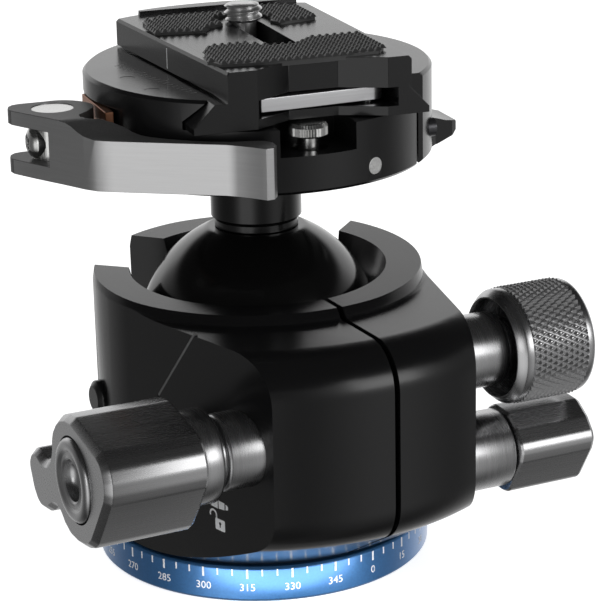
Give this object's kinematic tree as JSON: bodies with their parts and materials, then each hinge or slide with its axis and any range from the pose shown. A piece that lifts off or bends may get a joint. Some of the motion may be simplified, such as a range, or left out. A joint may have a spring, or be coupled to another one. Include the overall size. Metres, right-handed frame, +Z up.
{
  "type": "tripod ball head",
  "caption": "Tripod ball head: panning base, split housing with drop notches, winged lock knob, knurled friction knob, pan lock, and a lever dovetail clamp holding a camera plate.",
  "frame": {"origin": "mouth of the tripod socket, at the centre of the panning base's underside", "axes": "+Z up along the ball and stem axis, -Y towards the split nose of the housing, -X towards the main lock knob"},
  "size_m": [0.0879, 0.0757, 0.0919],
  "materials": {
    "blue_anodised": "blue anodised, satin turned, white engraved scale",
    "black_anodised": "black anodised, satin",
    "black_polished": "black hard anodised, polished",
    "grey_anodised": "titanium grey anodised, fine turned",
    "lever_grey": "titanium grey anodised, brushed outer face",
    "bare_aluminium": "bright machined",
    "steel": "bright stainless steel",
    "dark_steel": "black oxide",
    "copper": "copper coloured wear plate, satin",
    "polymer": "low friction polymer",
    "rubber": "moulded grip texture"
  },
  "bodies": {
    "base": {"pan_base": "blue_anodised", "pan_hub": "bare_aluminium", "tripod_insert": "steel", "base_screws": "dark_steel", "pan_washer": "polymer", "pan_retainer": "bare_aluminium", "retainer_screws": "dark_steel"},
    "housing": {"housing": "black_anodised", "ball_seat": "polymer", "seat_spring": "steel", "lock_bush": "grey_anodised", "friction_bush": "grey_anodised", "pan_bush": "grey_anodised", "side_plug": "grey_anodised"},
    "lock_knob": {"lock_bolt": "steel", "lock_collar": "grey_anodised", "lock_knob": "grey_anodised", "disc_springs": "steel"},
    "tension_dial": {"tension_dial": "grey_anodised"},
    "friction_knob": {"friction_screw": "steel", "friction_knob": "grey_anodised"},
    "pan_lock_knob": {"pan_screw": "steel", "pan_knob": "grey_anodised"},
    "ball": {"ball": "black_polished"},
    "clamp": {"stem": "black_polished", "clamp_screw": "dark_steel", "clamp_body": "black_anodised", "wear_plate": "copper", "wall_pin": "steel", "land_plugs": "black_anodised", "plunger_seat": "steel"},
    "plunger": {"safety_plunger": "steel"},
    "jaw": {"moving_jaw": "black_anodised", "guide_pins": "steel", "tension_bolt": "steel", "adjuster_head": "steel", "barrel_pin": "steel"},
    "lever": {"lever": "lever_grey"},
    "plate": {"plate": "black_anodised", "pad_near": "rubber", "pad_far": "rubber", "strap_pin": "steel"},
    "screw_carriage": {"screw_clip": "steel"},
    "camera_screw": {"camera_screw": "steel"},
    "strap_bar": {"strap_bar": "steel"}
  },
  "joints": [
    {"name": "pan_turn", "type": "hinge", "parent": "base", "child": "housing", "pos_m": [0, 0, 0.0062], "axis": [0, 0, 1], "continuous": true},
    {"name": "ball_tilt", "type": "hinge", "parent": "housing", "child": "ball", "pos_m": [0, 0, 0.0372], "axis": [-0.7071, 0.7071, 0], "range_deg": [-20, 90]},
    {"name": "ball_spin", "type": "hinge", "parent": "ball", "child": "clamp", "pos_m": [0, 0, 0.0372], "axis": [0, 0, 1], "continuous": true},
    {"name": "lock_turn", "type": "hinge", "parent": "housing", "child": "lock_knob", "pos_m": [-0.03, -0.034, 0.031], "axis": [1, 0, 0], "range_deg": [-120, 30]},
    {"name": "tension_turn", "type": "hinge", "parent": "lock_knob", "child": "tension_dial", "pos_m": [-0.044, -0.034, 0.031], "axis": [1, 0, 0], "range_deg": [-150, 150]},
    {"name": "friction_turn", "type": "hinge", "parent": "housing", "child": "friction_knob", "pos_m": [0.03, -0.034, 0.0398], "axis": [1, 0, 0], "range_deg": [-180, 180]},
    {"name": "pan_lock_turn", "type": "hinge", "parent": "housing", "child": "pan_lock_knob", "pos_m": [0.03, -0.034, 0.0227], "axis": [1, 0, 0], "range_deg": [-45, 45]},
    {"name": "plunger_push", "type": "slide", "parent": "clamp", "child": "plunger", "axis": [0, 0, -1], "range_m": [0, 0.0018], "stiffness_N_per_m": 200, "springref_m": -0.0005},
    {"name": "jaw_slide", "type": "slide", "parent": "clamp", "child": "jaw", "axis": [0.9925, -0.1219, 0], "range_m": [0, 0.0016]},
    {"name": "lever_open", "type": "hinge", "parent": "jaw", "child": "lever", "pos_m": [-0.03447, 0.00071, 0.074], "axis": [0, 0, -1], "range_deg": [0, 90]},
    {"name": "plate_slide", "type": "slide", "parent": "clamp", "child": "plate", "axis": [0.1219, 0.9925, 0], "range_m": [-0.006, 0.006]},
    {"name": "screw_slide", "type": "slide", "parent": "plate", "child": "screw_carriage", "axis": [-0.1219, -0.9925, 0], "range_m": [0, 0.016]},
    {"name": "screw_turn", "type": "hinge", "parent": "screw_carriage", "child": "camera_screw", "pos_m": [0.003, 0.00971, 0.088], "axis": [0, 0, 1], "continuous": true},
    {"name": "bar_swing", "type": "hinge", "parent": "plate", "child": "strap_bar", "pos_m": [0.0094, -0.02191, 0.081], "axis": [0, 0, 1], "range_deg": [0, 90]}
  ],
  "couplings": [
    {"joint": "lever_open", "follows": "jaw_slide", "rad_per_m": 981.75}
  ]
}
